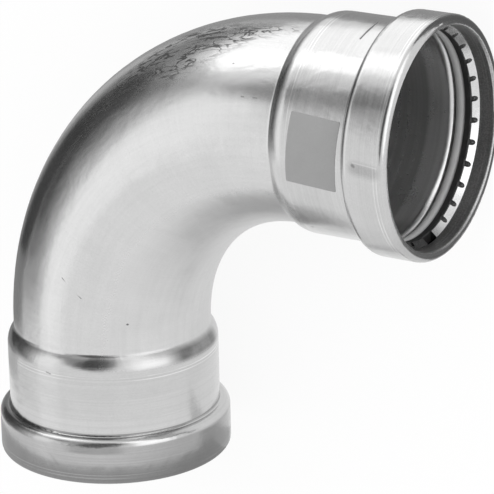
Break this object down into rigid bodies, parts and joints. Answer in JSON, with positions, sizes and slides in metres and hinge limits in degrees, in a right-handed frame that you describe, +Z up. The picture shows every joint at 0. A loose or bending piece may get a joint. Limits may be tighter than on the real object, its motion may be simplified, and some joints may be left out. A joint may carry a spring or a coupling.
{
  "type": "press fit pipe elbow",
  "caption": "Right-angle stainless steel press elbow: a formed tube with expanded sockets, whose folded beads hold a slotted cutting ring, a separator ring and a seal ring.",
  "frame": {"origin": "bottom centre of the elbow's box, with the elbow lying on its side", "axes": "+X out of the upper socket, -Y out of the lower socket, +Z up, square to the plane of the bend"},
  "size_m": [0.221, 0.221, 0.1045],
  "materials": {
    "formed_steel": "satin",
    "ring_steel": "bright",
    "black_plastic": "matte",
    "grey_rubber": "smooth"
  },
  "bodies": {
    "root": {"elbow_body": "formed_steel", "lower_cutting_ring": "ring_steel", "lower_separator_ring": "black_plastic", "lower_seal_ring": "grey_rubber", "upper_cutting_ring": "ring_steel", "upper_separator_ring": "black_plastic", "upper_seal_ring": "grey_rubber"}
  },
  "joints": []
}
